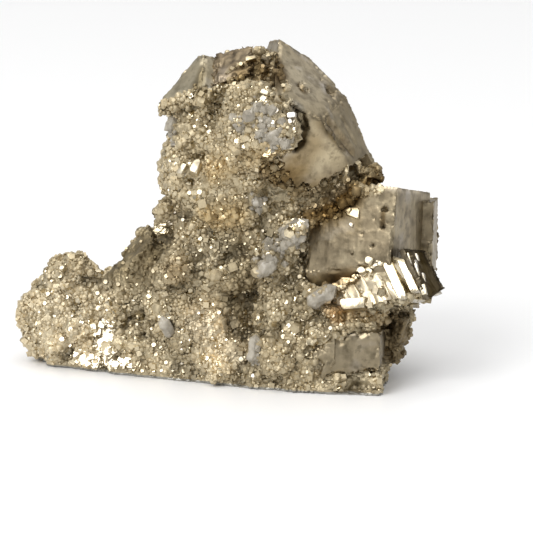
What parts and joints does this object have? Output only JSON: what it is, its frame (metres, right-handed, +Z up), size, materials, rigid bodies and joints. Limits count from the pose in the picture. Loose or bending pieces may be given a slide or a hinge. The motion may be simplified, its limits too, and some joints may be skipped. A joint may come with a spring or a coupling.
{
  "type": "pyrite specimen",
  "caption": "Natural pyrite cluster: granular druse with large flat-faced crystals at the crown and corner, milky quartz between them, sawn flat underneath to stand.",
  "frame": {"origin": "on the sawn face, in the middle of the cluster's outline seen from above", "axes": "+Z up from the sawn face, +X towards the corner with the large cube, +Y away from the side that shows best"},
  "size_m": [0.0718, 0.038, 0.056],
  "materials": {
    "pyrite": "pale brassy metallic crystal, satin on the large faces and glittering on the small ones",
    "quartz": "milky grey-lilac crystal with a glassy lustre"
  },
  "bodies": {
    "root": {"pyrite_cluster": "pyrite"}
  },
  "joints": []
}
